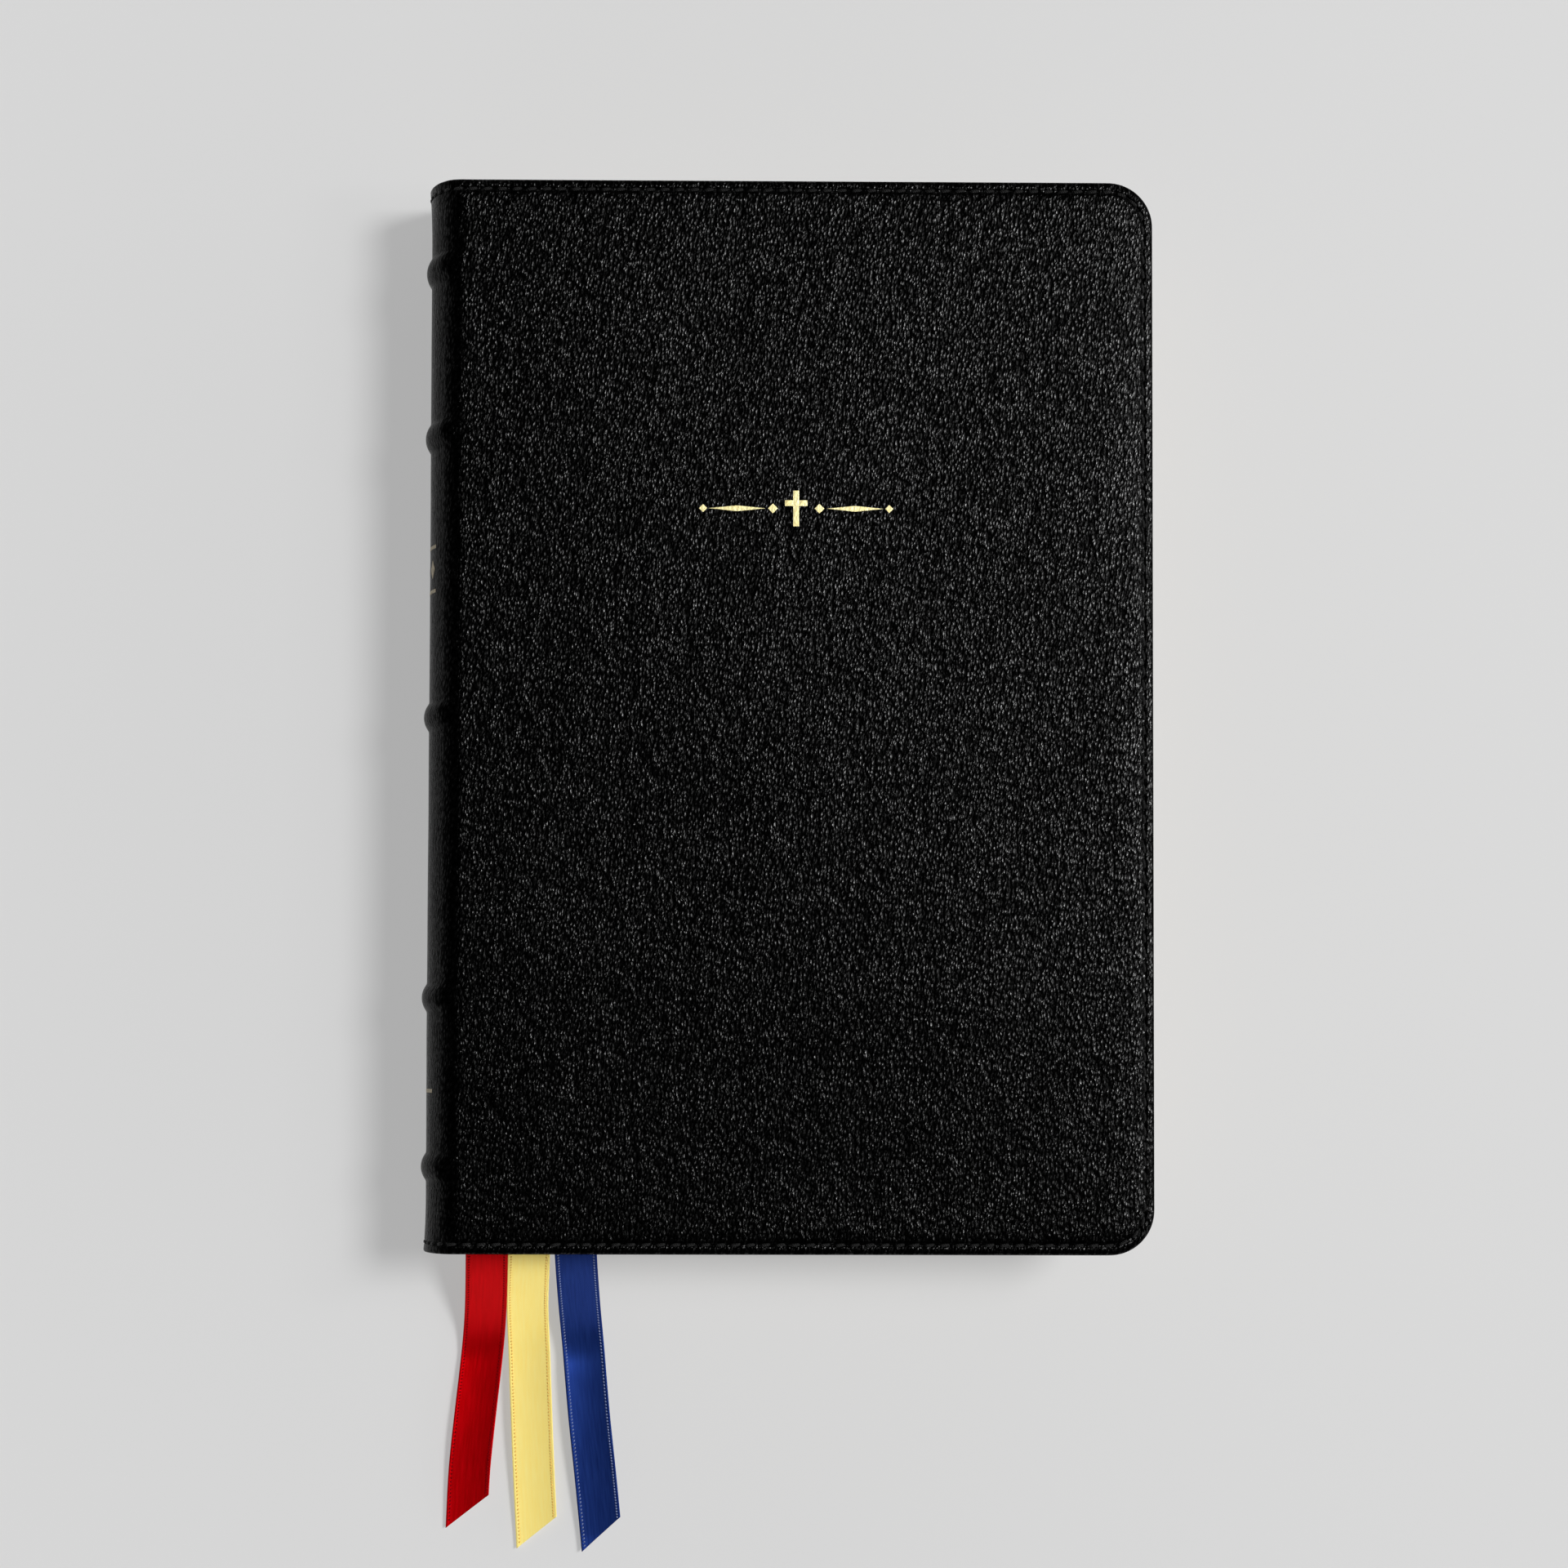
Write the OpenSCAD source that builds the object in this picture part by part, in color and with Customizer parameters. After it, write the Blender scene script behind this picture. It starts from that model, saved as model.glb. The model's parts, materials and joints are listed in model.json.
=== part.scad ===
// Bible in limp black leather, with rounded spine, raised bands and three marker ribbons.
// Millimetres. +X runs to the fore-edge, +Y to the head, +Z up to the front cover.
// The origin is the middle of the back cover's outer face, on which the closed book rests.

/* [Covers] */
// Width of one cover leaf, from its hinge to the fore-edge
leaf_w = 153.2; // [120:0.1:170]
// Height of the covers, head to tail
cover_h = 240; // [200:1:260]
// Thickness of the closed book
book_t = 36; // [32:0.5:40]
// Radius of the two fore-edge corners
corner_r = 10; // [4:0.5:16]
// Thickness of the outer leather of a cover
leather_t = 1.2; // [0.8:0.1:1.6]
// Thickness of the leather liner inside a cover
liner_t = 0.6; // [0.4:0.1:0.8]
// Thickness of the card between leather and liner
card_t = 0.4; // [0.2:0.1:0.6]
// Distance from a cover's edge to the card
card_inset = 6; // [4:0.5:12]

/* [Stitching] */
// Distance from the edge to the middle of the stitch line
stitch_inset = 2.2; // [1.6:0.1:3]
// Width of the groove that the stitches lie in
stitch_w = 0.7; // [0.5:0.1:1]
// Depth of the groove
stitch_depth = 0.35; // [0.2:0.05:0.5]
// How far the thread stays below the leather's face
stitch_sink = 0.05; // [0:0.05:0.1]

/* [Spine] */
// Outer radius of the rounded spine
spine_r = 32; // [28:0.5:44]
// Radius between the spine and a cover
shoulder_r = 5; // [4:0.5:7]
// How far the spine stands out from the fold line of the pages
spine_out = 4; // [3:0.1:5]
// Thickness of the spine leather
spine_leather_t = 1; // [0.8:0.1:1.2]
// Height that a raised band stands above the spine
band_rise = 1.15; // [0.6:0.05:1.6]
// Radius of a band's round top, measured over the leather
band_r = 4.75; // [4:0.25:6]
// Places of the raised bands along the spine
band_places = [101, 63.2, 0, -63.2, -101];

/* [Pages] */
// Width of a page
page_w = 152.4; // [110:0.1:160]
// Height of a page
page_h = 228.6; // [180:0.1:245]
// Radius of the pages' fore-edge corners
page_corner_r = 8; // [3:0.5:12]
// Sections sewn together in each half of the book
sections = 14; // [6:1:20]

/* [Ribbons] */
// Width of a marker ribbon
ribbon_w = 9.5; // [6:0.1:12]
// Thickness of a marker ribbon
ribbon_t = 0.22; // [0.15:0.01:0.3]
// Slope at which a ribbon drops from the pages to the table, in degrees
drop_angle = 38; // [25:1:50]
// Radius of a ribbon's bends
drop_bend_r = 9; // [5:0.5:12]

/* [Hidden] */
$fn = 96;
cover_t = leather_t + liner_t;
hinge_x = -leaf_w / 2 - 0.3;
fold_x = hinge_x - 5;
mid_z = book_t / 2;
spine_cx = fold_x - spine_out + spine_r;
shoulder_x = spine_cx - sqrt(pow(spine_r - shoulder_r, 2) - pow(mid_z - shoulder_r, 2));
spine_fold_z = 4.2;
part_gap = 0.2;
spine_low = spine_fold_z + part_gap;
lining_low = 5.5;
stiffener_r = spine_r - spine_leather_t;
spine_card_t = 0.5;
lining_r = stiffener_r - spine_card_t;
lining_t = 0.3;
tape_r = lining_r - lining_t;
tape_t = 0.2;
tape_w = 8;
kettle_y = 107;
kettle_w = 0.8;
block_r = spine_r - 2.3;
flyleaf_t = 0.25;
flyleaf_low = cover_t + 0.3;
pages_low = flyleaf_low + flyleaf_t;
ribbon_slot = 0.5;
pages_high = mid_z - ribbon_slot / 2;
section_gap = 0.06;
headband_r = 1.2;
foil_t = 0.1;
table_gap = 0.05;
cover_ornament_place = [-3.3, 46];
leather_colour = [0.06, 0.06, 0.065];
liner_colour = [0.1, 0.1, 0.11];
thread_colour = [0.02, 0.02, 0.02];
foil_colour = [0.85, 0.72, 0.4];
card_colour = [0.6, 0.55, 0.45];
paper_colour = [0.93, 0.9, 0.82];
cloth_colour = [0.85, 0.85, 0.8];
// Each ribbon: middle at the head, middle where it leaves the pages, middle at its end,
// Y of the end's short corner and Y of its long tip.
red_run = [-74.4, -72.5, -77.6, -175.9, -183.7];
gold_run = [-64.4, -62.6, -61.4, -181, -188.1];
navy_run = [-54.4, -51.8, -46.8, -181.2, -188.7];

// ---- Plan shapes ----

// A leaf with round fore-edge corners: straight at x_low, shrunk by inset on its other sides.
module leaf_plan(x_low, x_high, h, r, inset = 0) {
    right = x_high - inset;
    half = h / 2 - inset;
    round = r - inset;
    translate([x_low, -half]) square([right - round - x_low, 2 * half]);
    translate([x_low, -half + round]) square([right - x_low, 2 * (half - round)]);
    for (side = [-1, 1]) translate([right - round, side * (half - round)]) circle(round);
}

module cover_plan(inset = 0) {
    leaf_plan(-leaf_w / 2, leaf_w / 2, cover_h, corner_r, inset);
}

// The stitch line of a cover, open at the hinge.
module stitch_plan() {
    difference() {
        cover_plan(stitch_inset - stitch_w / 2);
        translate([-1, 0]) leaf_plan(-leaf_w / 2, leaf_w / 2 + 1, cover_h, corner_r + 1,
            stitch_inset + stitch_w / 2);
    }
}

module diamond(w, h) {
    polygon([[-w / 2, 0], [0, -h / 2], [w / 2, 0], [0, h / 2]]);
}

// A plain cross between two tapered rules.
module ornament_plan() {
    square([1.3, 8], center = true);
    translate([0, 1.2]) square([5, 1.3], center = true);
    for (side = [-1, 1]) {
        translate([side * 5.2, 0]) diamond(2.2, 2.2);
        translate([side * 13.2, 0]) diamond(12.6, 1.3);
        translate([side * 20.8, 0]) diamond(1.8, 1.8);
    }
}

// ---- Covers ----

// The outer leather, face up, with a pocket for the card and a groove for the stitches.
module cover_leather() {
    difference() {
        linear_extrude(leather_t) cover_plan();
        translate([0, 0, -1]) linear_extrude(1 + card_t) card_plan();
        translate([0, 0, leather_t - stitch_depth]) linear_extrude(1) stitch_plan();
    }
}

module card_plan() {
    leaf_plan(-leaf_w / 2 + 3, leaf_w / 2, cover_h, corner_r, card_inset);
}

module cover_card() {
    linear_extrude(card_t) card_plan();
}

module cover_liner() {
    translate([0, 0, -liner_t]) linear_extrude(liner_t) cover_plan();
}

module cover_stitching() {
    translate([0, 0, leather_t - stitch_depth])
        linear_extrude(stitch_depth - stitch_sink) stitch_plan();
}

// Cover pieces are drawn face up on the liner's glued side; these put them in the book.
module front_place() {
    translate([0, 0, book_t - leather_t]) children();
}

module back_place() {
    translate([0, 0, leather_t]) mirror([0, 0, 1]) children();
}

module cover_foil(thickness) {
    translate([cover_ornament_place.x, cover_ornament_place.y, leather_t - foil_t])
        linear_extrude(thickness) ornament_plan();
}

module front_cover_leather() {
    color(leather_colour) front_place() difference() {
        cover_leather();
        cover_foil(1);
    }
}

module cover_ornament() {
    color(foil_colour) front_place() cover_foil(foil_t);
}

module front_cover_card() {
    color(card_colour) front_place() cover_card();
}

module front_cover_liner() {
    color(liner_colour) front_place() cover_liner();
}

module front_cover_stitching() {
    color(thread_colour) front_place() cover_stitching();
}

module back_cover_leather() {
    color(leather_colour) back_place() cover_leather();
}

module back_cover_card() {
    color(card_colour) back_place() cover_card();
}

module back_cover_liner() {
    color(liner_colour) back_place() cover_liner();
}

module back_cover_stitching() {
    color(thread_colour) back_place() cover_stitching();
}

// ---- Joints between the spine and the covers ----

// Outline of the whole leather case in section, shrunk by inset: spine, shoulders, covers.
module case_section(inset) {
    centre = [spine_cx, mid_z];
    intersection() {
        translate(centre) circle(spine_r - inset);
        translate([fold_x - 10, shoulder_r]) square([30, book_t - 2 * shoulder_r]);
    }
    for (z = [shoulder_r, book_t - shoulder_r]) translate([shoulder_x, z]) circle(shoulder_r - inset);
    translate([shoulder_x, inset]) square([20, book_t - 2 * inset]);
}

// Leather that turns from the back cover round its shoulder towards the spine.
module joint_strip() {
    translate([0, cover_h / 2, 0]) rotate([90, 0, 0]) linear_extrude(cover_h) intersection() {
        difference() {
            case_section(0);
            case_section(spine_leather_t);
        }
        translate([fold_x - 1, -1]) square([hinge_x - fold_x + 1, spine_fold_z + 1 - part_gap]);
    }
}

module back_joint_leather() {
    color(leather_colour) joint_strip();
}

module front_joint_leather() {
    color(leather_colour) translate([0, 0, book_t]) mirror([0, 0, 1]) joint_strip();
}

// ---- Spine ----

// A curved strip of the spine between two radii, low edge z_low, and as far from the other edge.
module spine_strip(r_in, r_out, z_low, y_low, y_high) {
    translate([0, y_high, 0]) rotate([90, 0, 0]) linear_extrude(y_high - y_low) intersection() {
        translate([spine_cx, mid_z]) difference() {
            circle(r_out);
            circle(r_in);
        }
        translate([fold_x - 10, z_low]) square([20, book_t - 2 * z_low]);
    }
}

// A bead round the spine at y, cut off below radius r_in.
module spine_bead(y, bead_r, r_in) {
    bead_centre = spine_r + band_rise - band_r;
    intersection() {
        translate([spine_cx, y, mid_z]) rotate([90, 0, 0]) rotate_extrude() intersection() {
            translate([bead_centre, 0]) circle(bead_r);
            translate([r_in, -band_r]) square([band_r, 2 * band_r]);
        }
        translate([fold_x - 10, y - band_r, spine_low]) cube([20, 2 * band_r, book_t - 2 * spine_low]);
    }
}

// Small marks in two panels of the spine, cut by a curved strip of the given radii.
module spine_foil(r_in, r_out) {
    title_y = 33;
    tail_y = -84;
    intersection() {
        spine_strip(r_in, r_out, spine_low, -110, 110);
        translate([fold_x - 10, 0, mid_z]) rotate([90, 0, 90]) linear_extrude(20) {
            for (side = [-1, 1]) translate([title_y + side * 5, 0]) square([0.8, 22], center = true);
            for (z = [-8, 0, 8]) translate([title_y, z]) diamond(4.4, 4.4);
            translate([tail_y, 0]) square([0.8, 22], center = true);
        }
    }
}

module spine_leather() {
    color(leather_colour) difference() {
        union() {
            spine_strip(stiffener_r, spine_r, spine_low, -cover_h / 2, cover_h / 2);
            for (y = band_places) spine_bead(y, band_r, stiffener_r + 0.2);
        }
        for (y = band_places) spine_bead(y, band_r - spine_leather_t, stiffener_r - 0.5);
        spine_foil(spine_r - foil_t, spine_r + 1);
        for (side = [-1, 1]) head_stitch(side, spine_r + 1);
    }
}

module head_stitch(side, r_out) {
    y = side * (cover_h / 2 - stitch_inset);
    spine_strip(spine_r - stitch_depth, r_out, spine_low - 0.01, y - stitch_w / 2, y + stitch_w / 2);
}

module spine_stitching() {
    color(thread_colour) intersection() {
        for (side = [-1, 1]) head_stitch(side, spine_r - stitch_sink);
        spine_strip(stiffener_r, spine_r, spine_low, -cover_h / 2, cover_h / 2);
    }
}

module spine_ornaments() {
    color(foil_colour) spine_foil(spine_r - foil_t, spine_r);
}

module raised_bands() {
    color(card_colour) for (y = band_places) spine_bead(y, band_r - spine_leather_t, stiffener_r);
}

module spine_card() {
    color(card_colour) spine_strip(lining_r, stiffener_r, lining_low, -page_h / 2, page_h / 2);
}

module spine_lining() {
    color(cloth_colour) spine_strip(tape_r, lining_r, lining_low, -page_h / 2 + 4, page_h / 2 - 4);
}

module sewing_tapes() {
    color(cloth_colour) for (y = band_places)
        spine_strip(tape_r - tape_t, tape_r, lining_low, y - tape_w / 2, y + tape_w / 2);
}

module sewing_thread() {
    color(cloth_colour) for (side = [-1, 1], y = side * kettle_y)
        spine_strip(tape_r - tape_t, tape_r, lining_low, y - kettle_w / 2, y + kettle_w / 2);
}

// A rolled cloth band that closes the top of the sections at the spine.
module end_band(side) {
    band_y = side * (page_h / 2 + headband_r + 0.1);
    intersection() {
        translate([spine_cx, band_y, mid_z]) rotate([90, 0, 0]) rotate_extrude()
            translate([block_r - headband_r - 0.2, 0]) circle(headband_r, $fn = 32);
        translate([fold_x - 10, band_y - 5, lining_low]) cube([20, 10, book_t - 2 * lining_low]);
    }
}

module headband() {
    color("white") end_band(1);
}

module tailband() {
    color("white") end_band(-1);
}

// ---- Pages ----

// One folded and sewn section, flat from z up, with its round fold inside the spine's curve.
module section(z, t) {
    far = max(abs(z - mid_z), abs(z + t - mid_z));
    fold = spine_cx - sqrt(pow(block_r, 2) - pow(far, 2));
    translate([0, 0, z]) linear_extrude(t)
        leaf_plan(fold + t / 2, fold + page_w, page_h, page_corner_r);
    translate([fold + t / 2, page_h / 2, z + t / 2]) rotate([90, 0, 0])
        cylinder(h = page_h, r = t / 2, $fn = 24);
}

module half_pages(z_low, z_high) {
    pitch = (z_high - z_low + section_gap) / sections;
    color(paper_colour) for (i = [0 : sections - 1])
        section(z_low + i * pitch, pitch - section_gap);
}

module back_half_pages() {
    half_pages(pages_low, pages_high);
}

module front_half_pages() {
    half_pages(book_t - pages_high, book_t - pages_low);
}

module back_flyleaf() {
    color(paper_colour) section(flyleaf_low, flyleaf_t);
}

module front_flyleaf() {
    color(paper_colour) section(book_t - pages_low, flyleaf_t);
}

// ---- Ribbons ----

// A ribbon seen from the side: flat on the pages, down a slope, flat on the table to end_y.
module ribbon_side(end_y) {
    steps = 6;
    angles = [for (i = [0 : steps]) drop_angle * i / steps];
    exit = [-page_h / 2, pages_high - drop_bend_r];
    low_r = drop_bend_r + ribbon_t;
    slope_top = [exit.x - drop_bend_r * sin(drop_angle), exit.y + drop_bend_r * cos(drop_angle)];
    slope_end_z = table_gap + low_r * (1 - cos(drop_angle));
    land_y = slope_top.x - (slope_top.y - slope_end_z) / tan(drop_angle) - low_r * sin(drop_angle);
    land = [land_y, table_gap + low_r];
    under = concat(
        [for (a = angles) exit + drop_bend_r * [-sin(a), cos(a)]],
        [for (a = angles) land + low_r * [sin(drop_angle - a), -cos(drop_angle - a)]]
    );
    over = concat(
        [for (a = angles) exit + low_r * [-sin(a), cos(a)]],
        [for (a = angles) land + drop_bend_r * [sin(drop_angle - a), -cos(drop_angle - a)]]
    );
    last = len(over) - 1;
    polygon(concat(
        [[page_h / 2 - 1, pages_high]],
        under,
        [[end_y, table_gap], [end_y, table_gap + ribbon_t]],
        [for (i = [last : -1 : 0]) over[i]],
        [[page_h / 2 - 1, pages_high + ribbon_t]]
    ));
}

module ribbon(run) {
    half = ribbon_w / 2;
    exit_y = -page_h / 2 - 6;
    intersection() {
        linear_extrude(book_t) polygon([
            [run[0] - half, page_h / 2],
            [run[1] - half, exit_y],
            [run[2] - half, run[4]],
            [run[2] + half, run[3]],
            [run[1] + half, exit_y],
            [run[0] + half, page_h / 2]
        ]);
        translate([run[1] - 20, 0, 0]) rotate([90, 0, 90]) linear_extrude(40) ribbon_side(run[4] - 1);
    }
}

module ribbon_red() {
    color("crimson") ribbon(red_run);
}

module ribbon_gold() {
    color("khaki") ribbon(gold_run);
}

module ribbon_navy() {
    color("midnightblue") ribbon(navy_run);
}

front_cover_leather();
front_cover_card();
front_cover_liner();
front_cover_stitching();
cover_ornament();
front_joint_leather();
front_flyleaf();
front_half_pages();
spine_leather();
raised_bands();
spine_card();
spine_lining();
sewing_tapes();
sewing_thread();
headband();
tailband();
spine_stitching();
spine_ornaments();
back_half_pages();
back_flyleaf();
back_joint_leather();
ribbon_red();
ribbon_gold();
ribbon_navy();
back_cover_leather();
back_cover_card();
back_cover_liner();
back_cover_stitching();
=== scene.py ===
import json
import math

import bpy
import numpy as np
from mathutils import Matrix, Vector


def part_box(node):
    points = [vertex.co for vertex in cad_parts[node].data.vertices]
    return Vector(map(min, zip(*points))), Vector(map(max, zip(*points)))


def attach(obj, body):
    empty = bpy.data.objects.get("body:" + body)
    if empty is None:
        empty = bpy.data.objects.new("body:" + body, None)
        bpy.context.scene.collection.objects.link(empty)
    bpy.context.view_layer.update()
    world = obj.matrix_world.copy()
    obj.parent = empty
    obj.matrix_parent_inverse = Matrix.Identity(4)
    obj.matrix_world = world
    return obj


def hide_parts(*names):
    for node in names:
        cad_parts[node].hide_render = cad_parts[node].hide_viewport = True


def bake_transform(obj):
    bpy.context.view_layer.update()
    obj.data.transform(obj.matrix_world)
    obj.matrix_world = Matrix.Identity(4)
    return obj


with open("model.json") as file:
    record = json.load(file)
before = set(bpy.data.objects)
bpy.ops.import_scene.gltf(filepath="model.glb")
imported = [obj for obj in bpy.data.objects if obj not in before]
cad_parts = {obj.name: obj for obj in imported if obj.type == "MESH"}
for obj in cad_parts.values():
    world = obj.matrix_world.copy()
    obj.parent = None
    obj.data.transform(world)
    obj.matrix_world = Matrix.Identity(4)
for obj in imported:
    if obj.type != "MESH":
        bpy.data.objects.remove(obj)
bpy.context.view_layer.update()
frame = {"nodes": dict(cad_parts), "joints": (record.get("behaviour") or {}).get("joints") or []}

# Lengths are in millimetres until mesh_object() and the lights turn them into metres.
MM = 0.001
JOINTS = {j["name"]: j for j in frame["joints"]}


def box_mm(node):
    low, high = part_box(node)
    return [c / MM for c in low], [c / MM for c in high]


# ---- Sizes, taken from the frame ----

leaf_low, leaf_high = box_mm("front_cover_leather")
LEAF_X0, LEAF_X1 = leaf_low[0], leaf_high[0]
HALF_H = leaf_high[1]
BOOK_T = leaf_high[2]
MID_Z = BOOK_T / 2
LEATHER_T = leaf_high[2] - leaf_low[2]
CARD_T = box_mm("front_cover_card")[1][2] - box_mm("front_cover_card")[0][2]
LINER_T = leaf_low[2] - box_mm("front_cover_liner")[0][2]
COVER_T = LEATHER_T + LINER_T
CORNER_R = 10.0
CARD_INSET = 6.0

BAND_RISE = 1.15
BAND_R = 4.75
SPINE_R = 32.0
SHOULDER_R = 5.0
SPINE_LEATHER_T = 1.0
SPINE_CX = box_mm("spine_leather")[0][0] + SPINE_R + BAND_RISE
SHOULDER_X = SPINE_CX - math.sqrt((SPINE_R - SHOULDER_R) ** 2 - (MID_Z - SHOULDER_R) ** 2)
SHOULDER_TURN = math.acos((MID_Z - SHOULDER_R) / (SPINE_R - SHOULDER_R))
BAND_PLACES = (101.0, 63.2, 0.0, -63.2, -101.0)

pages_low, pages_high = box_mm("back_half_pages")
PAGE_HALF_H = pages_high[1]
PAGE_W = 152.4
PAGE_CORNER_R = 8.0
BLOCK_R = SPINE_CX - pages_low[0]
SECTIONS = 14

HINGE_X = JOINTS["front_cover_hinge"]["pos_m"][0] / MM
FOLD_X = JOINTS["spine_fold"]["pos_m"][0] / MM

STITCH_INSET = 2.2
STITCH_PITCH = 3.3
STITCH_LENGTH = 2.3
GROOVE_DEPTH = 0.24
PARE_DEPTH = 0.4
PARE_WIDTH = 15.0
DROOP = 0.45
DROOP_WIDTH = 5.6
# The covers lie a little below their nominal plane, and wave by this much.
COVER_SINK = 0.12
COVER_WAVES = 0.16
SPINE_WAVES = 0.07
# The stitches sink this much less than their groove.
STITCH_LIFT = 0.2

# The covers' columns lie close together from the shoulder to this far past the front cover's hinge, and 1 mm
# more.
COVER_BEND = 3.2
# The pages' columns lie close together within this distance of the spine, and 8 mm more.
PAGE_BEND = 14.5
PAGE_BEND_SLANT = 0.6


# ---- Meshes ----

# Degrees above which an edge is a crease.
SHARP_ANGLE = 52


def mesh_object(name, points, faces, rest, extra=None):
    """A mesh piece from points in mm. rest holds each point's place on the material, also in mm."""
    mesh = bpy.data.meshes.new(name)
    mesh.from_pydata((np.asarray(points) * MM).tolist(), [], [tuple(f) for f in faces])
    mesh.update()
    place = np.asarray(rest, np.float32)
    layer = mesh.attributes.new("rest", "FLOAT_VECTOR", "POINT")
    layer.data.foreach_set("vector", place.ravel())
    for key, values in (extra or {}).items():
        data = mesh.attributes.new(key, "FLOAT", "POINT")
        data.data.foreach_set("value", np.asarray(values, np.float32))
    mesh.polygons.foreach_set("use_smooth", [True] * len(mesh.polygons))
    mesh.set_sharp_from_angle(angle=math.radians(SHARP_ANGLE))
    piece = bpy.data.objects.new(name, mesh)
    bpy.context.scene.collection.objects.link(piece)
    return piece


def grid_faces(rows, columns, start=0, flip=False):
    """Quads of a rows x columns grid of points."""
    i, j = np.meshgrid(np.arange(rows - 1), np.arange(columns - 1), indexing="ij")
    a = start + i * columns + j
    quads = np.stack([a, a + columns, a + columns + 1, a + 1], axis=-1).reshape(-1, 4)
    return quads[:, ::-1] if flip else quads


def rim(rows, columns):
    """Indices round the border of a rows x columns grid."""
    index = np.arange(rows * columns).reshape(rows, columns)
    return np.concatenate([index[:-1, 0], index[-1, :-1], index[:0:-1, -1], index[0, :0:-1]])


def wall_faces(lower, upper):
    """Quads between two closed loops of point indices."""
    return np.stack([lower, np.roll(lower, -1), np.roll(upper, -1), upper], axis=-1)


def shell(name, top, bottom, rest, extra=None):
    """A closed sheet between two grids of points of the same size."""
    rows, columns = top.shape[:2]
    count = rows * columns
    loop = rim(rows, columns)
    faces = np.concatenate([
        grid_faces(rows, columns, flip=True),
        grid_faces(rows, columns, start=count),
        wall_faces(loop, loop + count)[:, ::-1],
    ])
    points = np.concatenate([top.reshape(-1, 3), bottom.reshape(-1, 3)])
    place = np.tile(rest.reshape(-1, 3), (2, 1))
    return mesh_object(name, points, faces, place, extra)


def wobble(x, y, seed):
    """Slow waves of height about 1, for surfaces that aren't quite flat."""
    rng = np.random.default_rng(seed)
    height = np.zeros(np.broadcast(x, y).shape)
    for wavelength, share in ((95, 0.45), (52, 0.3), (27, 0.16), (13, 0.09)):
        for _ in range(3):
            turn, phase = rng.uniform(0, 2 * math.pi, 2)
            along = x * math.cos(turn) + y * math.sin(turn)
            height = height + share / 1.7 * np.sin(2 * math.pi * along / wavelength + phase)
    return height


def smoothstep(x, low, high):
    t = np.clip((x - low) / (high - low), 0, 1)
    return t * t * (3 - 2 * t)


# ---- Plan of a leaf with two round corners ----

def round_corners(x, y, x_edge, half_h, radius):
    """Moves grid points so that the grid's lines near the fore-edge corners become arcs."""
    dx = x_edge - x
    dy = half_h - np.abs(y)
    inside = (dx < radius) & (dy < radius)
    near = np.minimum(dx, dy)
    far = np.maximum(dx, dy)
    span = np.maximum(radius - near, 1e-9)
    part = (radius - far) / span * math.pi / 4
    turn = np.where(dx <= dy, part, math.pi / 2 - part)
    arc_x = x_edge - radius + (radius - near) * np.cos(turn)
    arc_y = np.sign(y) * (half_h - radius + (radius - near) * np.sin(turn))
    return np.where(inside, arc_x, x), np.where(inside, arc_y, y)


# Distances of the grid's rows from an edge, closest over its roll and stitch groove.
EDGE_STEPS = (0, 0.05, 0.13, 0.25, 0.4, 0.6, 0.9, 1.25, 1.6, 1.8, 2.0, 2.2, 2.4, 2.6, 2.8,
              3.15, 3.6, 4.2, 5.0, 5.9, 6.8)


def spaced(start, end, step):
    return np.linspace(start, end, max(2, int(round(abs(end - start) / step)) + 1))


def edge_rows(half, step, steps=EDGE_STEPS):
    """Places from -half to half, close together near both ends."""
    ends = np.array(steps)
    middle = spaced(-half + ends[-1], half - ends[-1], step)
    return np.concatenate([-half + ends[:-1], middle, (half - ends[:-1])[::-1]])


def edge_distance(x, y, x_edge, half_h):
    """Distance to the nearest of the head, tail and fore-edge, on the grid before rounding."""
    return np.minimum(x_edge - x, half_h - np.abs(y))


# ---- Covers ----

def edge_droop(d):
    """How far the leather's edge hangs below the face, d from the edge."""
    return -DROOP * np.clip(1 - d / DROOP_WIDTH, 0, 1) ** 2


def cover_height(x, y, d, seed):
    """How far the cover's face stands above its nominal plane."""
    waves = COVER_WAVES * wobble(x, y, seed) * smoothstep(d, 0, 14) * smoothstep(x, HINGE_X, HINGE_X + 25)
    return waves - COVER_SINK + edge_droop(d)


def pared(x):
    """The outer leather is pared thinner towards the fore-edge, so its face slopes down a little."""
    return -PARE_DEPTH * np.clip(1 - (LEAF_X1 - x) / PARE_WIDTH, 0, 1) ** 2


def groove(d):
    return -GROOVE_DEPTH * np.exp(-((d - STITCH_INSET) / 0.42) ** 2)


def edge_roll(d, radius):
    inside = np.clip(radius - d, 0, radius)
    return -(radius - np.sqrt(np.maximum(radius ** 2 - inside ** 2, 0)))


def cover_grid():
    """Columns from the shoulder to the fore-edge and rows from tail to head, before rounding."""
    fold = spaced(SHOULDER_X, HINGE_X + COVER_BEND + 1, 0.3)
    flat = spaced(fold[-1], LEAF_X1 - EDGE_STEPS[-1], 1.25)[1:]
    fore = LEAF_X1 - np.array(EDGE_STEPS[:-1])[::-1]
    x, y = np.meshgrid(np.concatenate([fold, flat, fore]), edge_rows(HALF_H, 1.25))
    return x, y


def placed(x, y, z, side):
    """Points of a cover drawn face up at height z, for the front (1) or the back (-1)."""
    return np.stack([x, y, z if side > 0 else BOOK_T - z], axis=-1)


def bend_cover(piece):
    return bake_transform(piece)


def cover_layer(name, px, py, top, bottom, side):
    """A closed layer of a cover between two grids of heights."""
    rest = np.stack([px, py, 0 * px], axis=-1)
    top, bottom = placed(px, py, top, side), placed(px, py, bottom, side)
    if side < 0:
        top, bottom = bottom, top
    return bend_cover(shell(name, top, bottom, rest))


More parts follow.
